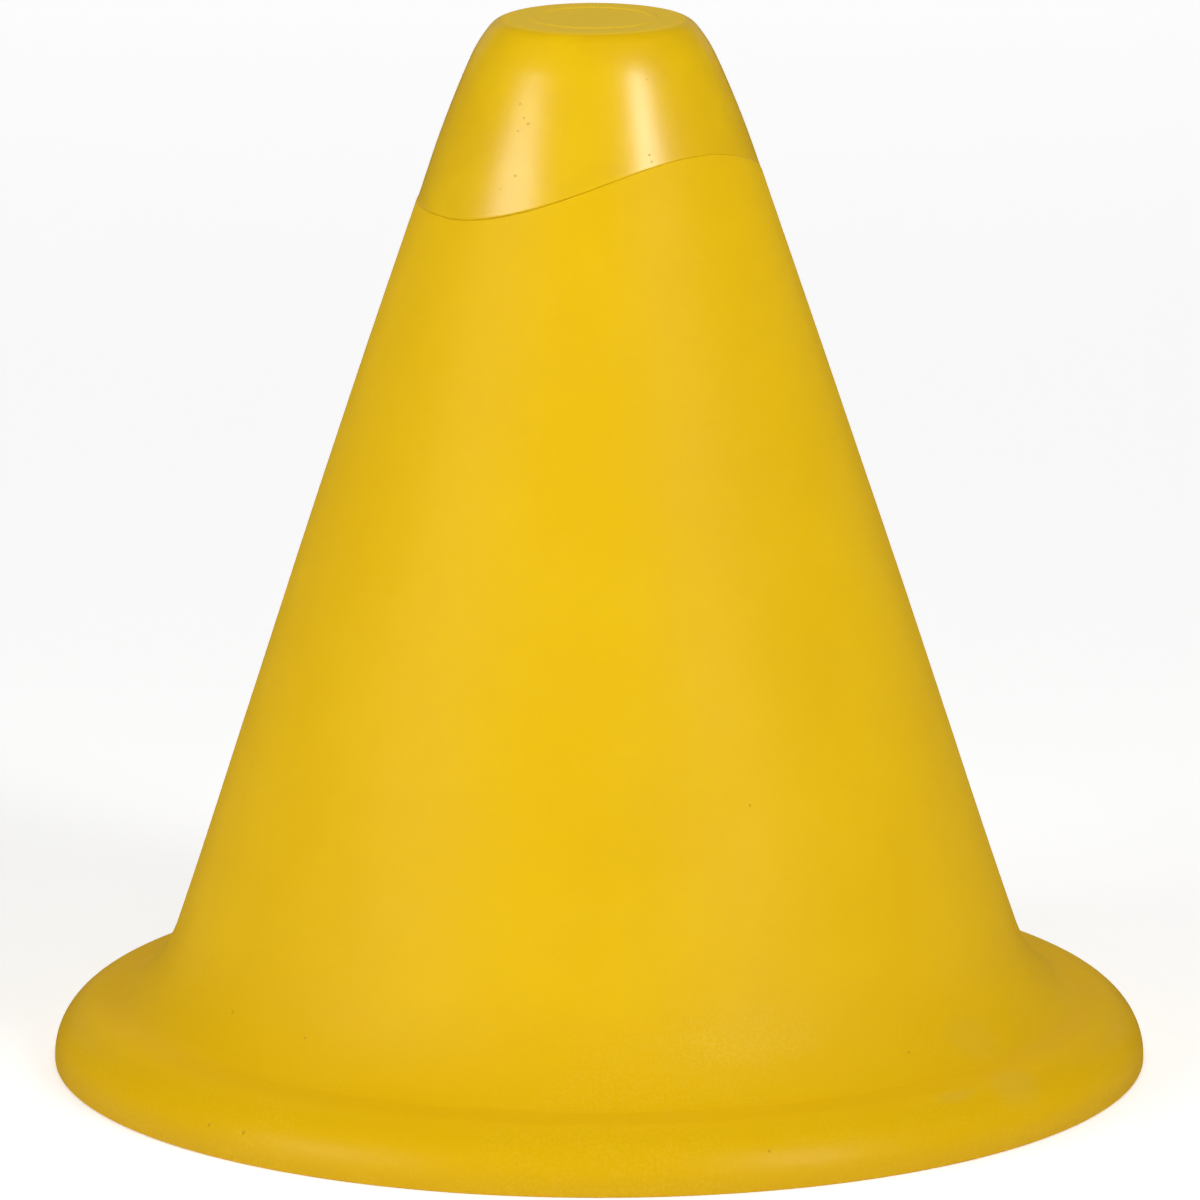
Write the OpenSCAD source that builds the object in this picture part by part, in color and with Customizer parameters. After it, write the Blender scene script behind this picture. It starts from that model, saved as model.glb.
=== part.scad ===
// Sports marker cone: a hollow moulded body with a rolled rim, closed by a smooth tip cap.
// Millimetres, +Z up, origin on the floor at the centre of the rim, -Y towards the viewer.

/* [Overall] */
// Height from the floor to the flat top face
height = 180; // [140:1:240]
// Diameter across the rolled rim
rim_d = 186.4; // [150:0.2:260]
// Wall thickness of the moulded body
wall = 2.4; // [1.6:0.1:3.4]

/* [Rim and flange] */
// Distance from the rim's edge in to the line of the straight wall, measured at the floor
flange_w = 13.7; // [12.8:0.1:18]
// Outer radius of the rolled rim
rim_round = 9.8; // [7.5:0.1:10.4]
// Height of the upright lip under the roll
lip_h = 0.9; // [0.6:0.1:3]
// Rounding of the two edges that stand on the floor
lip_edge = 0.4; // [0.2:0.05:0.6]
// Radius of the hollow that leads from the roll's level crest in to the foot
hollow_round = 7.6; // [4:0.1:8]
// Radius that carries the flange up into the straight wall
foot_round = 25; // [20:1:60]

/* [Tip] */
// Diameter of the flat top face
top_d = 28.8; // [22:0.2:40]
// Radius of the edge round the top face
edge_round = 4.2; // [3.7:0.1:7]
// Radius of the shoulder under that edge
shoulder_round = 24; // [12:1:40]
// Radius of the long curve from the shoulder down to the straight wall
crown_round = 195; // [80:5:260]
// Angle that the shoulder turns through
shoulder_turn = 15; // [8:1:25]
// Angle by which the crown leans in past the mean slope of the cone
crown_turn = 4.2; // [3:0.1:7]
// Middle radius of the raised ring on the top face
ring_r = 10.2; // [7:0.1:10.6]
// Width of the raised ring
ring_w = 0.8; // [0.5:0.05:1.5]
// Height of the raised ring
ring_h = 0.3; // [0.2:0.05:0.6]

/* [Seam and spigot] */
// Height of the cap, from the level part of the seam to the top face
cap_h = 31.1; // [28:0.1:60]
// Rise of the seam's one lobe above the level part
lobe_h = 11; // [6:0.5:14]
// Direction of the lobe's crest, from the front towards the right
lobe_turn = 41; // [0:1:90]
// Half of the turn that the lobe takes up
lobe_half = 98; // [60:1:150]
// How far the body's edge stands proud of the cap at the seam
seam_step = 0.12; // [0.05:0.01:0.3]
// Length of the cap's spigot below the level seam
spigot_l = 9; // [5:0.5:14]
// Thickness of the spigot
spigot_t = 1.7; // [1.2:0.1:2.4]
// Clearance between the spigot and the body's bore
spigot_gap = 0.1; // [0.05:0.01:0.2]
// Chamfer that leads the spigot into the bore
spigot_lead = 0.8; // [0.4:0.1:1.2]
// Thickness of the cap under the top face
cap_top_t = 2.8; // [2:0.1:4]
// Rounding inside the cap, between its bore and its ceiling
ceiling_round = 5; // [3:0.5:7]

/* [Hidden] */
$fn = 120;
body_colour = "#E6B41C";
cap_colour = "#EFC312";
// Largest distance between a round stretch and the chords that draw it
chord_gap = 0.02;
// Steps that draw the seam round the cone
seam_steps = 72;
// Overrun of cuts past the surfaces that they open
overrun = 4;
// Inner edge of the cut above the seam, and the plain core inside it, as shares of the seam's radius
cut_inner_share = 0.33;
cut_core_share = 0.5;

rim_r = rim_d / 2;
top_r = top_d / 2;
wall_r = rim_r - flange_w;
seam_low = height - cap_h;
seam_high = seam_low + lobe_h;

// A direction in the profile plane: distance from the axis, height
function dir(a) = [cos(a), sin(a)];
// Turn of the chord that leaves a circle by chord_gap
function chord_turn(r) = 2 * acos(1 - min(chord_gap / r, 1));
// Points of a round stretch about c, from angle a to angle b
function round_run(c, r, a, b) =
    r <= chord_gap ? [c] :
    let (n = max(3, ceil(abs(b - a) / chord_turn(r))))
    [for (i = [0:n]) c + r * dir(a + (b - a) * i / n)];

// A run without its first point, which the run before it already holds
function rest(list) = [for (i = [1:len(list) - 1]) list[i]];
function reversed(list) = [for (i = [len(list) - 1:-1:0]) list[i]];
function moved_in(list, step) = [for (p = list) [p[0] - step, p[1]]];

// Tip profile, worked down from the top face: each circle touches the next from inside
mean_lean = atan((wall_r - top_r) / height);
crown_end = mean_lean + crown_turn;
shoulder_end = crown_end + shoulder_turn;
edge_c = [top_r, height - edge_round];
shoulder_c = edge_c - (shoulder_round - edge_round) * dir(shoulder_end);
crown_c = shoulder_c - (crown_round - shoulder_round) * dir(crown_end);

// Lean of the straight wall, the line from [wall_r, 0] that touches the crown circle
to_wall = [wall_r, 0] - crown_c;
lean = atan2(to_wall[1], to_wall[0]) + acos(crown_round / norm(to_wall));
wall_n = dir(lean);
wall_up = dir(lean + 90);

// Rim profile: the roll up to its level crest, the hollow inside it, and the foot that touches
// hollow and wall
roll_c = [rim_r - rim_round, lip_h];
hollow_c = roll_c + [0, rim_round + hollow_round];
foot_out = wall_r * cos(lean) + foot_round - hollow_c * wall_n;
foot_up = sqrt(pow(foot_round - hollow_round, 2) - pow(foot_out, 2));
foot_c = hollow_c + foot_out * wall_n + foot_up * wall_up;
to_foot = hollow_c - foot_c;
foot_start = atan2(to_foot[1], to_foot[0]) + 360;

// Distance from the axis of the straight wall's line, at height z and set in by a depth
function wall_line(z, depth = 0) = wall_r - depth / cos(lean) - z * tan(lean);

// Outline of the whole cone from lip to top face, set in from the outer surface by a depth
function rim_run(depth) = concat(
    round_run(roll_c, rim_round - depth, 0, 90),
    rest(round_run(hollow_c, hollow_round + depth, 270, foot_start)),
    rest(round_run(foot_c, foot_round + depth, foot_start, lean + 180)));
function tip_run(depth) = concat(
    round_run(crown_c, crown_round - depth, lean, crown_end),
    rest(round_run(shoulder_c, shoulder_round - depth, crown_end, shoulder_end)),
    rest(round_run(edge_c, max(edge_round - depth, 0), shoulder_end, 90)));
function cone_run(depth) = concat(rim_run(depth), tip_run(depth));

// Lip on the floor: two rounded edges with a flat ring between them
function lip_outer() = round_run([rim_r - lip_edge, lip_edge], lip_edge, -90, 0);
function lip_inner() = round_run([rim_r - wall + lip_edge, lip_edge], lip_edge, 180, 270);

// The cone's wall as one closed outline
module wall_section() {
    polygon(concat(lip_outer(), cone_run(0), [[0, height], [0, height - wall]],
        reversed(cone_run(wall)), lip_inner()));
}

// Everything inside the outline set in by a depth, from the axis outwards
module core_section(depth, step = 0) {
    polygon(concat([[0, 0]], moved_in(tip_core(depth), step), [[0, height - depth]]));
}
function tip_core(depth) = concat([[wall_line(0, depth), 0]], tip_run(depth));

// Height of the seam in a direction counted from the lobe's crest
function lobe_share(a) = abs(a) < lobe_half ? (1 + cos(180 * a / lobe_half)) / 2 : 0;
function seam_z(a) = seam_low + lobe_h * lobe_share(a);

// The space above the seam: a ring whose underside is level across the wall and rises and
// falls round it, about a plain core that stays inside the hollow
module above_seam() {
    seam_r = wall_line(seam_low);
    inside = seam_r * cut_inner_share;
    outside = seam_r + overrun;
    top = height + overrun;
    turns = [for (i = [0:seam_steps - 1]) 360 * i / seam_steps - 180];
    corners = [for (a = turns) each [
        [inside * cos(a), inside * sin(a), seam_z(a)],
        [outside * cos(a), outside * sin(a), seam_z(a)],
        [outside * cos(a), outside * sin(a), top],
        [inside * cos(a), inside * sin(a), top]]];
    sides = [for (i = [0:seam_steps - 1], k = [0:3])
        let (p = 4 * i, q = 4 * ((i + 1) % seam_steps), l = (k + 1) % 4)
        each [[p + k, p + l, q + k], [q + k, p + l, q + l]]];
    rotate([0, 0, lobe_turn - 90])
        polyhedron(corners, sides);
    translate([0, 0, seam_low])
        cylinder(h = top - seam_low, r = seam_r * cut_core_share);
}

// Spigot blank: fills the body's bore up to the seam, less its clearance, with a lead-in
module spigot_blank() {
    depth = wall + spigot_gap;
    low = seam_low - spigot_l;
    low_r = wall_line(low, depth);
    intersection() {
        rotate_extrude() core_section(depth);
        union() {
            translate([0, 0, low])
                cylinder(h = spigot_lead, r1 = low_r - spigot_lead, r2 = low_r);
            translate([0, 0, low + spigot_lead])
                cylinder(h = seam_high - low, r = low_r);
        }
    }
}

// Hollow of the cap: a bore parallel to the wall, rounded into a flat ceiling
module cap_hollow() {
    depth = wall + spigot_gap + spigot_t;
    low = seam_low - spigot_l - overrun;
    ceiling = height - cap_top_t;
    corner_z = ceiling - ceiling_round;
    corner_c = [wall_line(corner_z, depth + ceiling_round), corner_z];
    rotate_extrude()
        polygon(concat([[0, low], [wall_line(low, depth), low]],
            round_run(corner_c, ceiling_round, lean, 90), [[0, ceiling]]));
}

// Plain raised ring on the top face
module top_ring() {
    rotate_extrude()
        translate([ring_r, height])
        polygon([[-ring_w / 2 - ring_h, -ring_h], [ring_w / 2 + ring_h, -ring_h],
            [ring_w / 2 - ring_h / 2, ring_h], [ring_h / 2 - ring_w / 2, ring_h]]);
}

module cone_body() {
    color(body_colour)
    difference() {
        rotate_extrude() wall_section();
        above_seam();
    }
}

module tip_cap() {
    color(cap_colour)
    difference() {
        union() {
            intersection() {
                rotate_extrude() core_section(0, seam_step);
                above_seam();
            }
            spigot_blank();
            top_ring();
        }
        cap_hollow();
    }
}

cone_body();
tip_cap();
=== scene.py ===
"""Looks of a sports marker cone: a satin moulded body and a polished tip cap, on a pale studio floor.

Values of the outline and places of marks are in millimetres and degrees, all other lengths in metres. +Z is
up, the cone stands at z = 0 and the viewer is on the -Y side. An azimuth is a turn about the cone's axis, from
the front (-Y) towards the right (+X). An outline is a pair of arrays, distance from the axis and height, with
a row for each of its points and a column for each azimuth.
"""

import math

import bpy
import numpy as np
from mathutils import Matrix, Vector


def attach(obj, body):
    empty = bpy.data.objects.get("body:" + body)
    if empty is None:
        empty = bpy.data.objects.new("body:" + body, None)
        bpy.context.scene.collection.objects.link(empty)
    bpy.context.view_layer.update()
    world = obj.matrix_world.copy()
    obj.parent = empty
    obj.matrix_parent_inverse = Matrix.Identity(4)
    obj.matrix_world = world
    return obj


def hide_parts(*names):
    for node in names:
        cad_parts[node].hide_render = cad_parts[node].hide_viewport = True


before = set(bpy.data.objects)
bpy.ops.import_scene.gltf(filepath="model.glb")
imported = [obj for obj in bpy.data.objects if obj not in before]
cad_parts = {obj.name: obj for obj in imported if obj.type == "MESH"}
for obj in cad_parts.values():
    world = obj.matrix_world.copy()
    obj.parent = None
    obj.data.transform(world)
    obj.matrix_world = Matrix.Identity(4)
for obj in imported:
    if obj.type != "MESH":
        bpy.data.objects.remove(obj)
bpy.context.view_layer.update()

MM = 0.001

# The cone's outline, as the part's source has it
HEIGHT, RIM_R, WALL, WALL_R, TOP_R = 180.0, 93.2, 2.4, 79.5, 14.4
ROLL_R, LIP_H, LIP_EDGE, FOOT_R = 9.8, 0.9, 0.4, 25.0
EDGE_R, SHOULDER_R, CROWN_R, SHOULDER_TURN, CROWN_TURN = 4.2, 24.0, 195.0, 15.0, 4.2
RING_R = 10.2
SEAM_LOW, LOBE_H, LOBE_TURN, LOBE_HALF, SEAM_STEP = 148.9, 11.0, 41.0, 98.0, 0.12
SPIGOT_LOW, SPIGOT_T, SPIGOT_GAP, SPIGOT_LEAD = 139.9, 1.7, 0.1, 0.8
CEILING, CEILING_R = 177.2, 5.0

# The roll's crest falls outwards over a short run, which leaves room for a tighter hollow than the source has
CREST_FALL, CREST_RUN, HOLLOW_R = 8.0, 3.0, 6.5

# The axis leans to the left: the first of it over AXIS_EASE, the rest evenly up to the top
AXIS_FROM, AXIS_EASE = 11.0, 9.0
AXIS_LEAN_LOW, AXIS_LEAN_TOP = 0.43, 0.96

# The wall bellies out above BELLY_TURN and draws in below it, each over a rise of its own
BELLY_TURN = 55.0
BELLY_OUT, BELLY_OUT_RISE = 0.24, 95.0
BELLY_IN, BELLY_IN_RISE = 0.18, 40.0

# Slow waves: crests round the cone, rise for one radian, start in radians, and share of WAVE. They fade in
# above the rim, and away from the axis
WAVES = [(3, 17.0, 0.0, 1.0), (5, -11.0, 1.3, 0.7), (8, 7.0, 2.1, 0.5)]
WAVE, WAVE_FROM, WAVE_EASE, WAVE_CORE = 0.025, 12.0, 20.0, 14.0

# The seam's gap and the rounding of its two edges where it stands open, and the share of each that is left
# where it is tight
SEAM_GAP, SEAM_GAP_TIGHT = 0.042, 0.06
SEAM_EDGE_R, SEAM_EDGE_TIGHT = 0.06, 0.25
SEAM_OPEN_LEFT, SEAM_OPEN_POWER = 18.0, 10

# The raised ring on the top face: height, half width of its crest, width of its soft flank, and how far from
# RING_R the outline is drawn finely
RING_RISE, RING_CREST, RING_FLANK, RING_FINE = 0.2, 0.1, 0.85, 1.0

COLUMNS = 360
AZIMUTH = np.radians(np.arange(COLUMNS) * 360.0 / COLUMNS)[None, :]


def direction(angle):
    """A unit direction in the profile plane, (distance from the axis, height), at an angle in degrees."""
    return np.array([math.cos(math.radians(angle)), math.sin(math.radians(angle))])


def angle_of(vector):
    """The angle, in degrees, of a vector in the profile plane."""
    return math.degrees(math.atan2(vector[1], vector[0]))


# Tip: each circle touches the next from inside, worked down from the top face
CROWN_END = math.degrees(math.atan((WALL_R - TOP_R) / HEIGHT)) + CROWN_TURN
SHOULDER_END = CROWN_END + SHOULDER_TURN
EDGE_C = np.array([TOP_R, HEIGHT - EDGE_R])
SHOULDER_C = EDGE_C - (SHOULDER_R - EDGE_R) * direction(SHOULDER_END)
CROWN_C = SHOULDER_C - (CROWN_R - SHOULDER_R) * direction(CROWN_END)

# Wall: a straight line that touches the crown's circle
TO_WALL = np.array([WALL_R, 0.0]) - CROWN_C
LEAN = angle_of(TO_WALL) + math.degrees(math.acos(CROWN_R / np.linalg.norm(TO_WALL)))
SLOPE = math.tan(math.radians(LEAN))
ACROSS = math.cos(math.radians(LEAN))
UPRIGHT = math.sin(math.radians(LEAN))
CROWN_START = CROWN_C[1] + CROWN_R * UPRIGHT

# Rim: the roll, its falling crest, the hollow inside it, and the foot that touches hollow and wall
ROLL_C = np.array([RIM_R - ROLL_R, LIP_H])
ROLL_END = 90.0 - CREST_FALL
HOLLOW_C = ROLL_C + (ROLL_R + HOLLOW_R) * direction(ROLL_END) + CREST_RUN * direction(ROLL_END + 90)
FOOT_OUT = WALL_R * ACROSS + FOOT_R - HOLLOW_C @ direction(LEAN)
FOOT_UP = math.sqrt((FOOT_R - HOLLOW_R) ** 2 - FOOT_OUT**2)
FOOT_C = HOLLOW_C + FOOT_OUT * direction(LEAN) + FOOT_UP * direction(LEAN + 90)
FOOT_START = angle_of(HOLLOW_C - FOOT_C) + 360


def between(first, second, share):
    """The value that lies a share of the way from first to second."""
    return first + (second - first) * share


def eased(share):
    """A share, held within 0 and 1, made to start and end slowly: three of its squares less two cubes."""
    share = np.clip(share, 0, 1)
    return share * share * (3 - 2 * share)


def arc(centre, radius, start, end, count):
    """Points of a circle's arc: the centre plus the radius times the direction of an angle that runs evenly
    from start to end."""
    angle = np.radians(np.linspace(start, end, count))
    return np.stack([centre[0] + radius * np.cos(angle), centre[1] + radius * np.sin(angle)], axis=1)


def line(start, end, count):
    """Points that run evenly from start to end."""
    return between(np.asarray(start), np.asarray(end), np.linspace(0, 1, count)[:, None])


def straight_radius(z, depth=0.0):
    """Distance from the axis of the straight wall at height z, set in by a depth square to the surface:
    WALL_R - depth / cos(lean) - z tan(lean)."""
    return WALL_R - depth / ACROSS - z * SLOPE


def wall_radius(z, depth=0.0):
    """Distance from the axis of the wall at height z, set in by a depth: the straight wall up to the crown,
    then the crown's circle."""
    crown = CROWN_C[0] + np.sqrt(np.maximum((CROWN_R - depth) ** 2 - (z - CROWN_C[1]) ** 2, 0.0))
    return np.where(z > CROWN_START, crown, straight_radius(z, depth))


def seam_height():
    """Height of the seam at each azimuth: its level part plus one raised cosine, LOBE_H high, that spans
    LOBE_HALF on each side of its crest."""
    turn = (np.degrees(AZIMUTH) - LOBE_TURN + 180.0) % 360.0 - 180.0
    lobe = np.where(np.abs(turn) < LOBE_HALF, (1 + np.cos(np.pi * turn / LOBE_HALF)) / 2, 0.0)
    return SEAM_LOW + LOBE_H * lobe


def seam_open():
    """How far the seam stands open at each azimuth: a raised cosine to a high power, which is 1 a little left
    of the front and almost 0 from the sides round to the back."""
    return ((1 + np.cos(AZIMUTH + math.radians(SEAM_OPEN_LEFT))) / 2) ** SEAM_OPEN_POWER


SEAM = seam_height()
GAP = SEAM_GAP * between(SEAM_GAP_TIGHT, 1, seam_open())
ROUNDING = SEAM_EDGE_R * between(SEAM_EDGE_TIGHT, 1, seam_open())


def seam_edge(distance, height, start, end, count):
    """A rounded edge at the seam: an arc from angle start to end, with radius ROUNDING, its centre at a
    height and its outermost point at a distance."""
    turn = np.radians(np.linspace(start, end, count))[:, None]
    return distance - ROUNDING * (1 - np.cos(turn)), height + ROUNDING * np.sin(turn)


def level(points):
    """An outline of points that are the same at every azimuth."""
    full = np.ones((1, COLUMNS))
    return points[:, :1] * full, points[:, 1:] * full


def stack(stretches):
    """One outline of several, one after another."""
    return np.concatenate([s[0] for s in stretches]), np.concatenate([s[1] for s in stretches])


def moulded(outline):
    """An outline with the moulding's small departures: one half sine out and one in on the wall, and the sum
    of the slow waves, sin(crests azimuth + height / rise + start), faded by height and by distance."""
    distance, height = outline
    out = BELLY_OUT * np.sin(np.pi * np.clip((height - BELLY_TURN) / BELLY_OUT_RISE, 0, 1))
    draw = BELLY_IN * np.sin(np.pi * np.clip((BELLY_TURN - height) / BELLY_IN_RISE, 0, 1))
    waves = sum(
        share * np.sin(crests * AZIMUTH + height / rise + start) for crests, rise, start, share in WAVES)
    fade = np.clip((height - WAVE_FROM) / WAVE_EASE, 0, 1) * np.clip(distance / WAVE_CORE, 0, 1)
    return distance + out - draw + WAVE * waves * fade, height


def moulded_wall(z, step=0.0):
    """The moulded outer wall's outline at heights z, set in by a step."""
    distance, height = moulded((wall_radius(z), z))
    return distance - step, height


def axis_shift(height):
    """Sideways shift of the axis: none on the rim, then an eased start and an even lean to the left."""
    start = eased((height - AXIS_FROM) / AXIS_EASE)
    low = AXIS_FROM + AXIS_EASE
    rise = np.clip((height - low) / (HEIGHT - low), 0, 1)
    return -start * between(AXIS_LEAN_LOW, AXIS_LEAN_TOP, rise)


def rim_points():
    """The rim's outline, from the wall down to the lip and back up inside: each arc starts where the last
    ends, and those inside are the outer ones set in by the wall."""
    return np.concatenate([
        arc(FOOT_C, FOOT_R, LEAN + 180, FOOT_START, 26)[:-1],
        arc(HOLLOW_C, HOLLOW_R, FOOT_START, ROLL_END + 180, 22),
        arc(ROLL_C, ROLL_R, ROLL_END, 0, 36),
        arc((RIM_R - LIP_EDGE, LIP_EDGE), LIP_EDGE, 0, -90, 6),
        arc((RIM_R - WALL + LIP_EDGE, LIP_EDGE), LIP_EDGE, 270, 180, 6),
        arc(ROLL_C, ROLL_R - WALL, 0, ROLL_END, 16),
        arc(HOLLOW_C, HOLLOW_R + WALL, ROLL_END + 180, FOOT_START, 10)[:-1],
        arc(FOOT_C, FOOT_R + WALL, FOOT_START, LEAN + 180, 12),
    ])


def body_outline():
    """The body's closed outline: edge at the seam, wall, rim, and back up inside. The wall's rows lie closer
    together towards the seam."""
    top = SEAM - GAP / 2
    low = top - ROUNDING
    edge = seam_edge(moulded_wall(top)[0], low, 90, LEAN, 7)
    share = (1 - np.cos(np.linspace(0, np.pi / 2, 96)[1:-1, None])) ** 0.9
    wall = moulded_wall(between(low, FOOT_C[1] - FOOT_R * UPRIGHT, share))
    inner_foot = FOOT_C[1] - (FOOT_R + WALL) * UPRIGHT
    inside = between(inner_foot, top, np.linspace(0, 1, 26)[1:, None])
    return stack([edge, wall, moulded(level(rim_points())), (wall_radius(inside, WALL), inside)])


def top_face():
    """The top face's outline from its centre to its edge: level, but for the ring, whose crest falls away
    over an eased flank on both sides."""
    inner, outer = RING_R - RING_FINE, RING_R + RING_FINE
    across = np.concatenate([
        np.linspace(0, inner - 0.2, 7), np.linspace(inner, outer, 37),
        np.linspace(outer + 0.3, TOP_R, 8)[:-1]])
    flank = eased((np.abs(across - RING_R) - RING_CREST) / RING_FLANK)
    return level(np.stack([across, HEIGHT + RING_RISE * (1 - flank)], axis=1))


def shoulder():
    """The outline of the edge round the top face and of the shoulder under it."""
    distance, height = moulded(level(np.concatenate([
        arc(EDGE_C, EDGE_R, 90, SHOULDER_END, 22)[:-1],
        arc(SHOULDER_C, SHOULDER_R, SHOULDER_END, CROWN_END, 22)[:-1]])))
    return distance - SEAM_STEP, height


def spigot_and_hollow(foot):
    """The outline from the seam's face down the spigot, round its lead-in, up the cap's bore, parallel to the
    straight wall, and over the rounded ceiling to the axis."""
    depth = WALL + SPIGOT_GAP
    bore = depth + SPIGOT_T
    down = between(foot, SPIGOT_LOW + SPIGOT_LEAD, np.linspace(0, 1, 9)[:, None])
    low_in = (straight_radius(SPIGOT_LOW, bore), SPIGOT_LOW)
    low_out = (straight_radius(SPIGOT_LOW, depth) - SPIGOT_LEAD, SPIGOT_LOW)
    corner_z = CEILING - CEILING_R
    corner = (straight_radius(corner_z, bore + CEILING_R), corner_z)
    ceiling = arc(corner, CEILING_R, LEAN, 90, 10)
    inside = np.concatenate([
        [low_out, low_in], line(low_in, ceiling[0], 12)[1:-1],
        ceiling, line(ceiling[-1], (0.0, CEILING), 5)[1:]])
    return stack([(wall_radius(down, depth), down), level(inside)])


def cap_outline():
    """The cap's outline from the top face's centre, over the shoulder and down the crown to the seam, then
    round the spigot and up inside to the axis."""
    foot = SEAM + GAP / 2
    low = foot + ROUNDING
    start = CROWN_C[1] + CROWN_R * math.sin(math.radians(CROWN_END))
    crown = moulded_wall(between(start, low, np.linspace(0, 1, 70)[:, None]), SEAM_STEP)
    distance, height = seam_edge(moulded_wall(foot, SEAM_STEP)[0], low, LEAN, -90, 8)
    return stack([top_face(), shoulder(), crown, (distance[1:], height[1:]), spigot_and_hollow(foot)])


def strips(number):
    """Faces between neighbouring rows of point numbers, each row closed on itself."""
    beside = np.roll(number, -1, axis=1)
    return np.stack([number[:-1], number[1:], beside[1:], beside[:-1]], axis=-1).reshape(-1, 4).tolist()


def turned_piece(name, outline, ends):
    """Turns an outline about the axis: x = distance sin(azimuth) + shift, y = -distance cos(azimuth). With
    ends "ring" the last row joins the first. With "poles" the first row is one point, and so is the last."""
    distance, height = outline
    x = distance * np.sin(AZIMUTH) + axis_shift(height)
    points = np.stack([x, -distance * np.cos(AZIMUTH), height], axis=-1) * MM
    if ends == "ring":
        coords = points.reshape(-1, 3)
        number = np.arange(len(coords)).reshape(-1, COLUMNS)
        faces = strips(np.concatenate([number, number[:1]]))
    else:
        inner = points[1:-1].reshape(-1, 3)
        coords = np.concatenate([inner, points[:1].mean(axis=1), points[-1:].mean(axis=1)])
        number = np.arange(len(inner)).reshape(-1, COLUMNS)
        first, last = np.full(COLUMNS, len(inner)), np.full(COLUMNS, len(inner) + 1)
        fan = np.stack([first, number[0], np.roll(number[0], -1)], axis=-1)
        foot = np.stack([last, np.roll(number[-1], -1), number[-1]], axis=-1)
        faces = strips(number) + fan.tolist() + foot.tolist()
    mesh = bpy.data.meshes.new(name)
    mesh.from_pydata(coords.tolist(), [], faces)
    mesh.polygons.foreach_set("use_smooth", np.ones(len(faces), bool))
    mesh.update()
    piece = bpy.data.objects.new(name, mesh)
    bpy.context.scene.collection.objects.link(piece)
    return piece


# Nodes


def finish(name):
    """A new material with a Principled shader. Returns the material, its node tree and the shader."""
    material = bpy.data.materials.new(name)
    material.use_nodes = True
    tree = material.node_tree
    shader = next(n for n in tree.nodes if n.type == "BSDF_PRINCIPLED")
    return material, tree, shader


def feed(tree, socket, value):
    """Gives an input another node's output, or a plain value."""
    if isinstance(value, bpy.types.NodeSocket):
        tree.links.new(value, socket)
    else:
        socket.default_value = value


def add(tree, kind, inputs=None, **settings):
    """Adds a node. Settings are its properties, and inputs are what its inputs are fed, by name or number."""
    node = tree.nodes.new(kind)
    for key, value in settings.items():
        setattr(node, key, value)
    for key, value in (inputs or {}).items():
        feed(tree, node.inputs[key], value)
    return node


def noise(tree, vector, size, detail=3.0, roughness=0.55, distortion=0.0):
    """A noise from 0 to 1 whose features are about size across."""
    return add(tree, "ShaderNodeTexNoise", {
        "Vector": vector, "Scale": 1.0 / size, "Detail": detail, "Roughness": roughness,
        "Distortion": distortion}).outputs["Fac"]


def ramp(tree, value, low, high, to_low=0.0, to_high=1.0, smooth=True):
    """Maps value from low..high to to_low..to_high, held at both ends."""
    return add(tree, "ShaderNodeMapRange", {
        "Value": value, "From Min": low, "From Max": high, "To Min": to_low, "To Max": to_high},
        interpolation_type="SMOOTHSTEP" if smooth else "LINEAR").outputs["Result"]


def fall(tree, value, full, gone):
    """1 where value is at most full, and down to 0 where it is gone or more."""
    return ramp(tree, value, full, gone, 1.0, 0.0)


def maths(tree, operation, first, second=0.0, third=0.0):
    """One sum on up to three values."""
    return add(tree, "ShaderNodeMath", {0: first, 1: second, 2: third}, operation=operation).outputs[0]


def summed(tree, parts, start=0.0):
    """Start plus, for each part, its value times its share."""
    for value, share in parts:
        start = maths(tree, "MULTIPLY_ADD", value, share, start)
    return start


def on_vectors(tree, operation, first, second):
    """One sum on two vectors."""
    return add(tree, "ShaderNodeVectorMath", {0: first, 1: second}, operation=operation).outputs[0]


def tint(tree, amount, first, second):
    """A colour that goes from first to second by amount."""
    node = add(tree, "ShaderNodeMix", {"Factor": amount}, data_type="RGBA")
    for socket, value in ((node.inputs[6], first), (node.inputs[7], second)):
        feed(tree, socket, (*value, 1.0) if isinstance(value, tuple) else value)
    return node.outputs[2]


def round_coords(tree, place, rise):
    """Coordinates that follow the cone: the direction from the axis times STREAK_R, plus the height times
    rise, so that a noise on them is drawn out up the wall."""
    split = add(tree, "ShaderNodeSeparateXYZ", {0: place})
    flat = add(tree, "ShaderNodeCombineXYZ", {0: split.outputs[0], 1: split.outputs[1], 2: 0.0})
    out = add(tree, "ShaderNodeVectorMath", {0: flat.outputs[0]}, operation="NORMALIZE").outputs[0]
    wide = add(tree, "ShaderNodeVectorMath", {0: out, "Scale": STREAK_R}, operation="SCALE").outputs[0]
    height = maths(tree, "MULTIPLY", split.outputs[2], rise)
    lift = add(tree, "ShaderNodeCombineXYZ", {0: 0.0, 1: 0.0, 2: height}).outputs[0]
    return on_vectors(tree, "ADD", wide, lift)


def specks(tree, place, spots):
    """Small round marks: each is 1 within half its radius and 0 past it, and the largest counts."""
    total = None
    for azimuth, distance, height, radius in spots:
        turn = math.radians(azimuth)
        centre = Vector((distance * math.sin(turn), -distance * math.cos(turn), height)) * MM
        centre.x += float(axis_shift(height)) * MM
        away = add(tree, "ShaderNodeVectorMath", {0: place, 1: centre}, operation="DISTANCE").outputs["Value"]
        mark = fall(tree, away, radius * MM / 2, radius * MM)
        total = mark if total is None else maths(tree, "MAXIMUM", total, mark)
    return total


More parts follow.
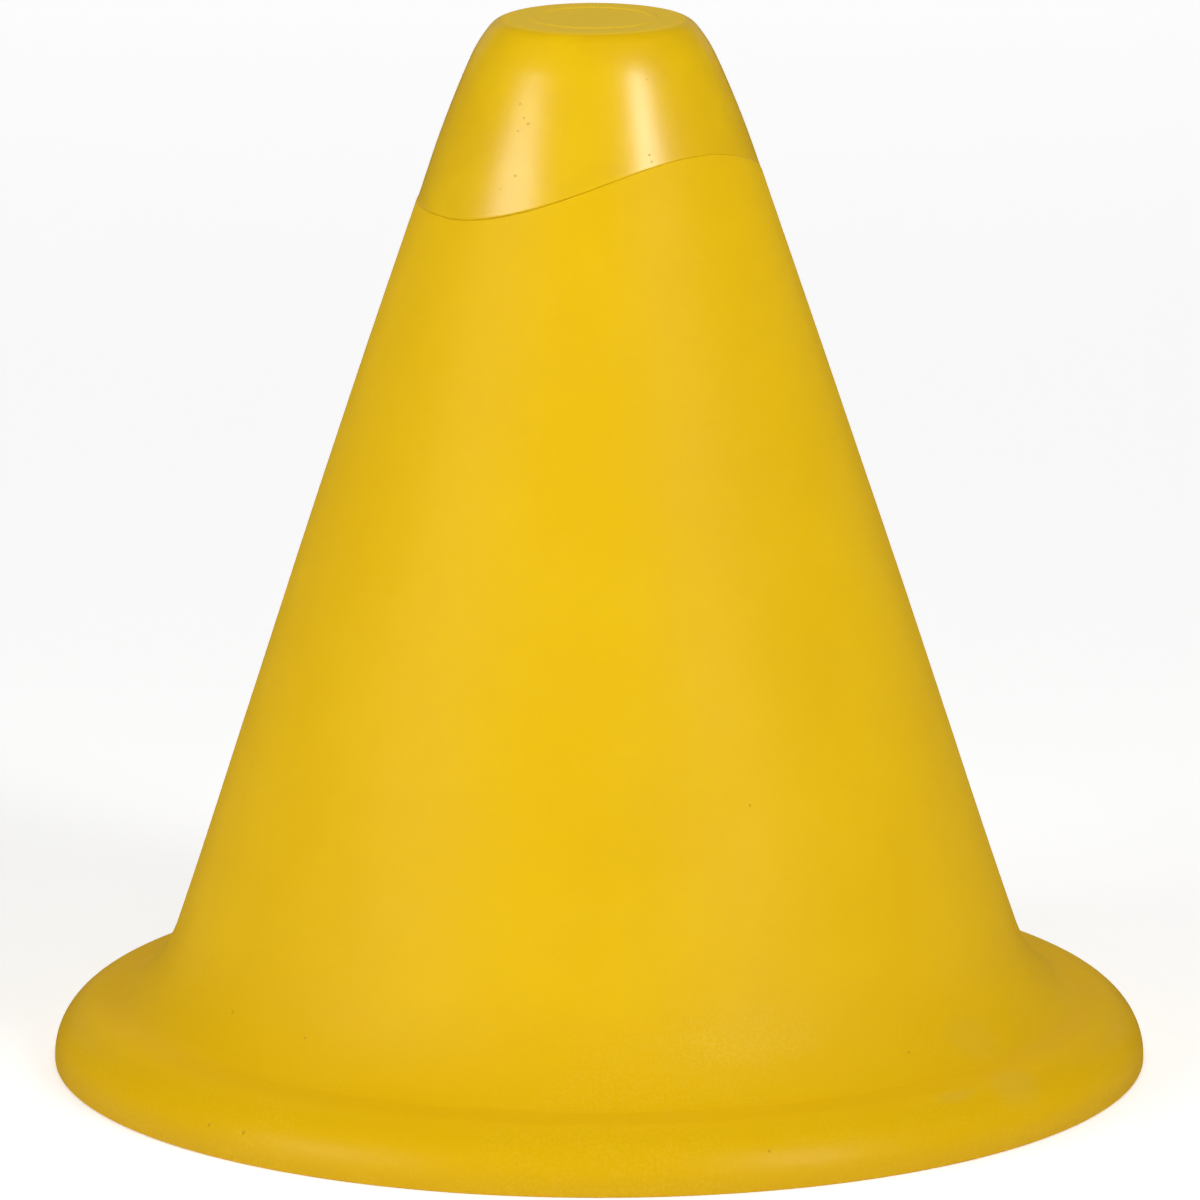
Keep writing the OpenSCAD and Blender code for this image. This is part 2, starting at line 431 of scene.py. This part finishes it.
def blot(tree, place, grit, centre, halves, turn):
    """A soft mark: an ellipsoid with half lengths halves, turned about the vertical, that is 1 in its middle
    and 0 past its surface. A noise breaks up its edge."""
    away = on_vectors(tree, "SUBTRACT", place, Vector(centre) * MM)
    spun = add(tree, "ShaderNodeVectorRotate", {
        "Vector": away, "Angle": math.radians(turn)}, rotation_type="Z_AXIS").outputs[0]
    scaled = on_vectors(tree, "MULTIPLY", spun, Vector([1 / (half * MM) for half in halves]))
    length = add(tree, "ShaderNodeVectorMath", {0: scaled}, operation="LENGTH").outputs["Value"]
    return fall(tree, summed(tree, [(grit, 0.5)], length), 0.5, 1.25)


def coat(tree, shader, colour, roughness, relief, ior, specular):
    """Feeds the shader a colour, a roughness and a relief in millimetres, and sets its plain values."""
    bump = add(tree, "ShaderNodeBump", {"Strength": 1.0, "Distance": MM, "Height": relief})
    tree.links.new(colour, shader.inputs["Base Color"])
    tree.links.new(roughness, shader.inputs["Roughness"])
    tree.links.new(bump.outputs[0], shader.inputs["Normal"])
    shader.inputs["IOR"].default_value = ior
    shader.inputs["Specular IOR Level"].default_value = specular


# Finishes

YELLOW, YELLOW_DEEP = (0.835, 0.520, 0.004), (0.775, 0.464, 0.003)
# The rim, roll and lip yellows are painted shade: deeper tones that stand in for the shade near the floor
YELLOW_RIM_SHADE, YELLOW_ROLL_SHADE, YELLOW_LIP_SHADE = (0.765, 0.458, 0.003), (0.735, 0.432, 0.002), (0.67, 0.388, 0.002)
# The body's pinhole colour is painted shade: a dark brown for the shade inside the pits
CHALK, SCUFF, BODY_PIT_SHADE = (0.80, 0.525, 0.030), (0.66, 0.43, 0.045), (0.42, 0.24, 0.01)
CAP_YELLOW, CAP_DEEP = (0.855, 0.537, 0.003), (0.81, 0.495, 0.002)
# The cap's worn colour is partly painted light, a paler top face for its sheen and top light; its pinhole
# colour is painted shade
CAP_WORN_LIT, CAP_PIT_SHADE = (0.87, 0.572, 0.030), (0.40, 0.22, 0.005)

# Painted shade that deepens towards the floor, in place of the contact shadow there, each tone over the one
# before: colour, and the heights where it is full and gone
BODY_SHADE_TONES = [(YELLOW_RIM_SHADE, 0.013, 0.031), (YELLOW_ROLL_SHADE, 0.0085, 0.0105), (YELLOW_LIP_SHADE, 0.0, 0.0055)]

# Heights between which the handled flange passes into the wall, and the bead that is rubbed smooth: its
# height, and how far above and below it the rubbing is full and gone
HANDLED, HANDLED_END = 0.018, 0.040
BEAD, BEAD_FULL, BEAD_GONE = 0.0062, 0.0015, 0.0042

# Pinholes: azimuth, distance from the axis, height and radius of each
BODY_PITS = [
    (-55.7, 74.1, 18.2, 0.45), (-40.9, 74.5, 17.5, 0.35), (-44.6, 92.3, 5.1, 0.4), (-39.7, 92.2, 5.1, 0.4),
    (42.7, 76.1, 14.8, 0.35), (12.0, 72.8, 21.0, 0.25), (17.8, 91.5, 6.4, 0.3), (25.0, 60.5, 57.0, 0.25),
    (-150.0, 70.0, 29.0, 0.4), (120.0, 58.0, 65.0, 0.3), (165.0, 90.0, 8.0, 0.4)]
CAP_PITS = [
    (-32.7, 22.8, 168.7, 0.24), (-27.2, 24.0, 165.8, 0.28), (-29.5, 23.6, 166.6, 0.18),
    (-31.1, 24.5, 164.5, 0.2), (-29.0, 27.1, 157.4, 0.24), (-34.0, 27.9, 155.0, 0.15),
    (25.4, 21.0, 172.9, 0.2), (21.1, 25.8, 161.0, 0.22), (21.6, 26.2, 159.9, 0.2),
    (28.0, 24.9, 163.6, 0.15), (-140.0, 24.0, 165.0, 0.25), (100.0, 26.0, 158.0, 0.2)]

# Soft marks on the flange: centre, half lengths and turn
CHALKY = ((24.8, -68.7, 21.6), (19.0, 12.0, 8.5), -20.0)
SCUFF_WIDE = ((69.3, -55.0, 9.0), (8.2, 5.2, 9.0), -50.0)
SCUFF_LONG = ((59.4, -64.4, 9.8), (6.8, 1.8, 5.0), -44.0)
SMUDGE = ((62.8, -44.5, 15.0), (9.0, 6.0, 7.0), -54.0)

# Chalk: least and most in slow patches, more on the handled flange, and more in the chalky mark
CHALK_LEAST, CHALK_MOST, CHALK_HANDLED, CHALK_MARK = 0.05, 0.20, 0.06, 0.45
# The pit shares say how far painted shade darkens the pinholes
SMUDGE_SHARE, SCUFF_TINT, BODY_PIT_SHADE_SHARE, CAP_PIT_SHADE_SHARE = 0.6, 0.30, 0.40, 0.35

# Roughness: least and most in slow clouds, and what chalk, rubbing and wear add
SATIN_LEAST, SATIN_MOST, SATIN_CHALK, SATIN_RUBBED = 0.46, 0.52, 0.10, -0.14
GLOSS_LEAST, GLOSS_MOST, GLOSS_WORN = 0.285, 0.325, 0.32

# Relief in millimetres, and what the handled flange adds to it
GRAIN_DEPTH, GRAIN_HANDLED, SPECKLE_DEPTH, SPECKLE_HANDLED = 0.010, 0.004, 0.006, 0.002
STREAK_DEPTH, CLOUD_DEPTH, BODY_PIT_DEPTH = 0.004, 0.022, -0.10
FLOW_DEPTH, FINE_DEPTH, CAP_PIT_DEPTH = 0.07, 0.006, -0.06

# Streaks up the wall: the radius that their coordinates are turned on, and how much of the height they take
STREAK_R, STREAK_RISE = 0.07, 0.12

# Heights between which the cap's wear and the paler tint of painted light on its top face come in, just under
# the top face
WORN_LIT_START, WORN_LIT_FULL = 0.17965, 0.17995

SATIN_IOR, SATIN_SPECULAR = 1.47, 0.14
GLOSS_IOR, GLOSS_SPECULAR = 1.5, 0.85


def satin_vinyl():
    """The body's finish: a spark-eroded mould's fine satin grain, slow mottling, chalky specks that thicken
    towards the foot, a rubbed bead, painted shade that deepens towards the floor, and pits darkened by painted
    shade and scuffs on the flange."""
    material, tree, shader = finish("satin_vinyl")
    place = add(tree, "ShaderNodeTexCoord").outputs["Object"]
    height = add(tree, "ShaderNodeSeparateXYZ", {0: place}).outputs[2]
    mottle = noise(tree, place, 0.034, detail=4.0)
    cloud = noise(tree, place, 0.011)
    streak = noise(tree, round_coords(tree, place, STREAK_RISE), 0.0011, detail=2.0, roughness=0.6)
    patch = noise(tree, place, 0.022, detail=2.0)
    speckle = noise(tree, place, 0.0006, detail=2.0, roughness=0.6)
    grain = noise(tree, place, 0.0005, roughness=0.65)
    grit = noise(tree, place, 0.0035, roughness=0.6)
    pits_and_shade = specks(tree, place, BODY_PITS)
    handled = fall(tree, height, HANDLED, HANDLED_END)
    from_bead = maths(tree, "ABSOLUTE", maths(tree, "SUBTRACT", height, BEAD))
    rubbed = fall(tree, from_bead, BEAD_FULL, BEAD_GONE)

    colour = tint(tree, ramp(tree, mottle, 0.30, 0.72, 0.25, 0.75), YELLOW, YELLOW_DEEP)
    # Painted shade: deeper tones towards the floor, in place of the contact shadow there
    for shade_tone, full, end in BODY_SHADE_TONES:
        colour = tint(tree, fall(tree, height, full, end), colour, shade_tone)
    patches = ramp(tree, patch, 0.40, 0.62, CHALK_LEAST, CHALK_MOST)
    chalky = blot(tree, place, grit, *CHALKY)
    amount = summed(tree, [(handled, CHALK_HANDLED), (chalky, CHALK_MARK)], patches)
    chalk = maths(tree, "MULTIPLY", ramp(tree, speckle, 0.42, 0.66), amount)
    colour = tint(tree, chalk, colour, CHALK)
    wide, long = blot(tree, place, grit, *SCUFF_WIDE), blot(tree, place, grit, *SCUFF_LONG)
    smudge = maths(tree, "MULTIPLY", blot(tree, place, grit, *SMUDGE), SMUDGE_SHARE)
    smears = maths(tree, "MAXIMUM", maths(tree, "MAXIMUM", wide, long), smudge)
    colour = tint(tree, maths(tree, "MULTIPLY", smears, SCUFF_TINT), colour, SCUFF)
    # Painted shade in the pinholes: the pits are darkened, and the relief below sinks them
    colour = tint(tree, maths(tree, "MULTIPLY", pits_and_shade, BODY_PIT_SHADE_SHARE), colour, BODY_PIT_SHADE)

    clouds = ramp(tree, cloud, 0.3, 0.7, SATIN_LEAST, SATIN_MOST)
    roughness = summed(tree, [(chalk, SATIN_CHALK), (rubbed, SATIN_RUBBED)], clouds)
    grain_depth = summed(tree, [(handled, GRAIN_HANDLED)], GRAIN_DEPTH)
    speckle_depth = summed(tree, [(handled, SPECKLE_HANDLED)], SPECKLE_DEPTH)
    relief = summed(tree, [
        (grain, grain_depth), (speckle, speckle_depth), (streak, STREAK_DEPTH), (cloud, CLOUD_DEPTH),
        (pits_and_shade, BODY_PIT_DEPTH)])
    coat(tree, shader, colour, roughness, relief, SATIN_IOR, SATIN_SPECULAR)
    return material


def gloss_vinyl():
    """The cap's finish: polished vinyl with slow flow marks, pinholes darkened by painted shade, and a worn,
    duller top face whose paler tint is partly painted light.
    """
    material, tree, shader = finish("gloss_vinyl")
    place = add(tree, "ShaderNodeTexCoord").outputs["Object"]
    height = add(tree, "ShaderNodeSeparateXYZ", {0: place}).outputs[2]
    flow = noise(tree, place, 0.014, roughness=0.5, distortion=0.6)
    fine = noise(tree, place, 0.0012, roughness=0.6)
    pits_and_shade = specks(tree, place, CAP_PITS)
    on_top = ramp(tree, height, WORN_LIT_START, WORN_LIT_FULL)
    worn_and_lit = maths(tree, "MULTIPLY", on_top, ramp(tree, fine, 0.2, 0.6, 0.6, 1.0))

    colour = tint(tree, ramp(tree, flow, 0.3, 0.7), CAP_YELLOW, CAP_DEEP)
    # Partly wear, partly painted light: the top face is tinted paler and lighter, in place of the sheen and
    # top light on it
    colour = tint(tree, worn_and_lit, colour, CAP_WORN_LIT)
    # Painted shade in the pinholes: the pits are darkened, and the relief below sinks them
    colour = tint(tree, maths(tree, "MULTIPLY", pits_and_shade, CAP_PIT_SHADE_SHARE), colour, CAP_PIT_SHADE)
    roughness = summed(tree, [(worn_and_lit, GLOSS_WORN)], ramp(tree, flow, 0.3, 0.7, GLOSS_LEAST, GLOSS_MOST))
    relief = summed(tree, [(flow, FLOW_DEPTH), (fine, FINE_DEPTH), (pits_and_shade, CAP_PIT_DEPTH)])
    coat(tree, shader, colour, roughness, relief, GLOSS_IOR, GLOSS_SPECULAR)
    return material


body = turned_piece("cone_body_skin", body_outline(), ends="ring")
body.data.materials.append(satin_vinyl())
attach(body, "root")
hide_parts("cone_body")

cap = turned_piece("tip_cap_skin", cap_outline(), ends="poles")
cap.data.materials.append(gloss_vinyl())
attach(cap, "root")
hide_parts("tip_cap")


# Studio

# The floor reaches this far to each side, and lies a little below the part's foot so that they share no plane
FLOOR_REACH, FLOOR_DROP, FLOOR_TONE, FLOOR_ROUGH = 9.0, 2e-5, 0.90, 0.9

# Light that the floor sends out by itself, up to GLOW_START behind the cone and from GLOW_END on, so that it
# stays near white
FLOOR_GLOW, FLOOR_GLOW_FAR, GLOW_START, GLOW_END = 0.312, 0.47, 0.30, 1.05

# Height on the cone that the lights are aimed at, and the light of the air round it
LIGHT_AIM, AIR_GLOW = 0.09, 0.03

# Camera: how steeply it looks down, its distance, the height it looks at, and how far to the right it stands
VIEW_RISE, VIEW_FAR, VIEW_AIM, VIEW_ASIDE = math.radians(12.612), 2.04211, 0.07963, 0.00013
SENSOR, LENS = 36.0, 360.36


def studio_floor():
    """A plain pale floor with a soft glow of its own, which the cone's gloss doesn't mirror."""
    mesh = bpy.data.meshes.new("studio_floor")
    sides = ((-1, -1), (1, -1), (1, 1), (-1, 1))
    corners = [(x * FLOOR_REACH, y * FLOOR_REACH, -FLOOR_DROP) for x, y in sides]
    mesh.from_pydata(corners, [], [(0, 1, 2, 3)])
    floor = bpy.data.objects.new("studio_floor", mesh)
    bpy.context.scene.collection.objects.link(floor)
    material, tree, shader = finish("pale_floor")
    shader.inputs["Base Color"].default_value = (FLOOR_TONE, FLOOR_TONE, FLOOR_TONE, 1.0)
    shader.inputs["Roughness"].default_value = FLOOR_ROUGH
    shader.inputs["Specular IOR Level"].default_value = 0.0
    shader.inputs["Emission Color"].default_value = (1.0, 1.0, 1.0, 1.0)
    place = add(tree, "ShaderNodeTexCoord").outputs["Object"]
    back = add(tree, "ShaderNodeSeparateXYZ", {0: place}).outputs[1]
    glow = ramp(tree, back, GLOW_START, GLOW_END, FLOOR_GLOW, FLOOR_GLOW_FAR, smooth=False)
    tree.links.new(glow, shader.inputs["Emission Strength"])
    mesh.materials.append(material)
    floor.visible_glossy = False


def softbox(name, azimuth, elevation, far, width, height, power, glossy=True):
    """An oval light of a width and height at an azimuth, an elevation and a distance, aimed at the cone.
    Gloss mirrors it unless glossy is False."""
    data = bpy.data.lights.new(name, "AREA")
    data.shape = "ELLIPSE"
    data.size, data.size_y, data.energy = width, height, power
    light = bpy.data.objects.new(name, data)
    bpy.context.scene.collection.objects.link(light)
    turn, rise = math.radians(azimuth), math.radians(elevation)
    away = Vector((math.sin(turn) * math.cos(rise), -math.cos(turn) * math.cos(rise), math.sin(rise)))
    light.location = Vector((0, 0, LIGHT_AIM)) + away * far
    light.rotation_euler = away.to_track_quat("Z", "Y").to_euler()
    light.visible_glossy = glossy
    if not glossy and hasattr(data, "cycles"):
        data.cycles.use_multiple_importance_sampling = False


studio_floor()
softbox("key_right", 43.5, 26, 1.6, 0.42, 0.98, 9.3)
softbox("key_left", -57, 18, 1.6, 0.95, 0.86, 8.7)
softbox("top_wash", 0, 88, 2.2, 3.0, 3.0, 21.0, glossy=False)
softbox("top_front", 0, 62, 2.0, 1.4, 1.4, 8.6, glossy=False)
softbox("left_fill", -88, 20, 2.0, 1.5, 1.5, 1.8, glossy=False)
softbox("right_fill", 100, 30, 2.0, 1.5, 1.5, 1.0, glossy=False)
softbox("back_fill", 180, 15, 2.0, 1.5, 1.5, 3.6, glossy=False)
softbox("back_panel", 180, 14, 2.0, 3.0, 0.9, 1.6)

world = bpy.data.worlds.new("studio_air")
bpy.context.scene.world = world
world.use_nodes = True
background = next(n for n in world.node_tree.nodes if n.type == "BACKGROUND")
background.inputs["Color"].default_value = (1.0, 1.0, 1.0, 1.0)
background.inputs["Strength"].default_value = AIR_GLOW

view_data = bpy.data.cameras.new("viewer")
view_data.sensor_width = SENSOR
view_data.lens = LENS
view_data.clip_start, view_data.clip_end = 0.05, 50.0
viewer = bpy.data.objects.new("viewer", view_data)
bpy.context.scene.collection.objects.link(viewer)
viewer.location = (
    VIEW_ASIDE, -VIEW_FAR * math.cos(VIEW_RISE), VIEW_AIM + VIEW_FAR * math.sin(VIEW_RISE))
viewer.rotation_euler = (math.pi / 2 - VIEW_RISE, 0.0, 0.0)
bpy.context.scene.camera = viewer
bpy.context.scene.view_settings.view_transform = "Standard"
